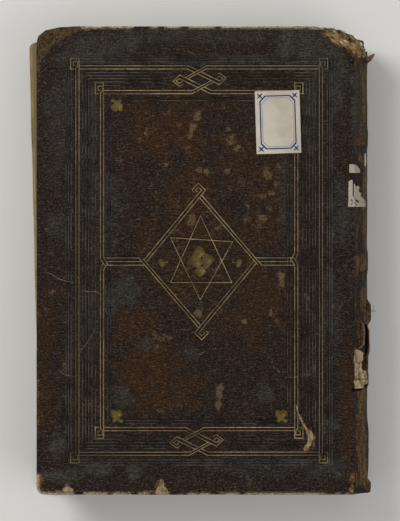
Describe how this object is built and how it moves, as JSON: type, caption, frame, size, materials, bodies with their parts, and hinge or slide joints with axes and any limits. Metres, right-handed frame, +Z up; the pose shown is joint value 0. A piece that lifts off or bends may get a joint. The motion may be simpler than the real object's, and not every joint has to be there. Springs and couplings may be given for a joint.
{
  "type": "antique leather-bound book",
  "caption": "Old folio book in worn dark leather: gilt-tooled front cover and plain back cover that each open on the spine, over a thick sewn text block with a torn rounded spine",
  "frame": {"origin": "centre of the closed book's footprint, on the surface that the back cover lies on", "axes": "+Z up through the closed book, +Y towards the head, +X towards the spine"},
  "size_m": [0.2044, 0.2814, 0.0422],
  "materials": {
    "pages": "old rag paper, toned at the edges",
    "lining_linen": "coarse linen under old glue",
    "dark_leather": "dark brown grained goatskin, rubbed and bloomed",
    "label_paper": "matt off-white label paper",
    "endband_thread": "faded thread wound on a core",
    "sewing_hemp": "twisted hemp cord",
    "pasteboard": "fibrous layered pasteboard, bare at the worn corner",
    "endpaper": "plain laid paper",
    "worn_gold": "thin gold leaf, dulled and rubbed",
    "label_ink": "blue printing ink on paper"
  },
  "bodies": {
    "text_block": {"text_block": "pages", "spine_lining": "lining_linen", "spine_leather": "dark_leather", "lining_scrap": "lining_linen", "spine_label_scraps": "label_paper", "headband": "endband_thread", "tailband": "endband_thread", "sewing_cord_1": "sewing_hemp", "sewing_cord_2": "sewing_hemp", "sewing_cord_3": "sewing_hemp", "sewing_cord_4": "sewing_hemp"},
    "front_cover": {"front_board": "pasteboard", "front_leather": "dark_leather", "front_pastedown": "endpaper", "front_gilding": "worn_gold", "shelf_label": "label_paper", "shelf_label_border": "label_ink", "joint_label_scraps": "label_paper"},
    "back_cover": {"back_board": "pasteboard", "back_leather": "dark_leather", "back_pastedown": "endpaper"}
  },
  "joints": [
    {"name": "front_cover_hinge", "type": "hinge", "parent": "text_block", "child": "front_cover", "pos_m": [0.09384, 0, 0.0414], "axis": [0, 1, 0], "range_deg": [0, 180]},
    {"name": "back_cover_hinge", "type": "hinge", "parent": "text_block", "child": "back_cover", "pos_m": [0.09384, 0, 0.0006], "axis": [0, -1, 0], "range_deg": [0, 180]}
  ]
}
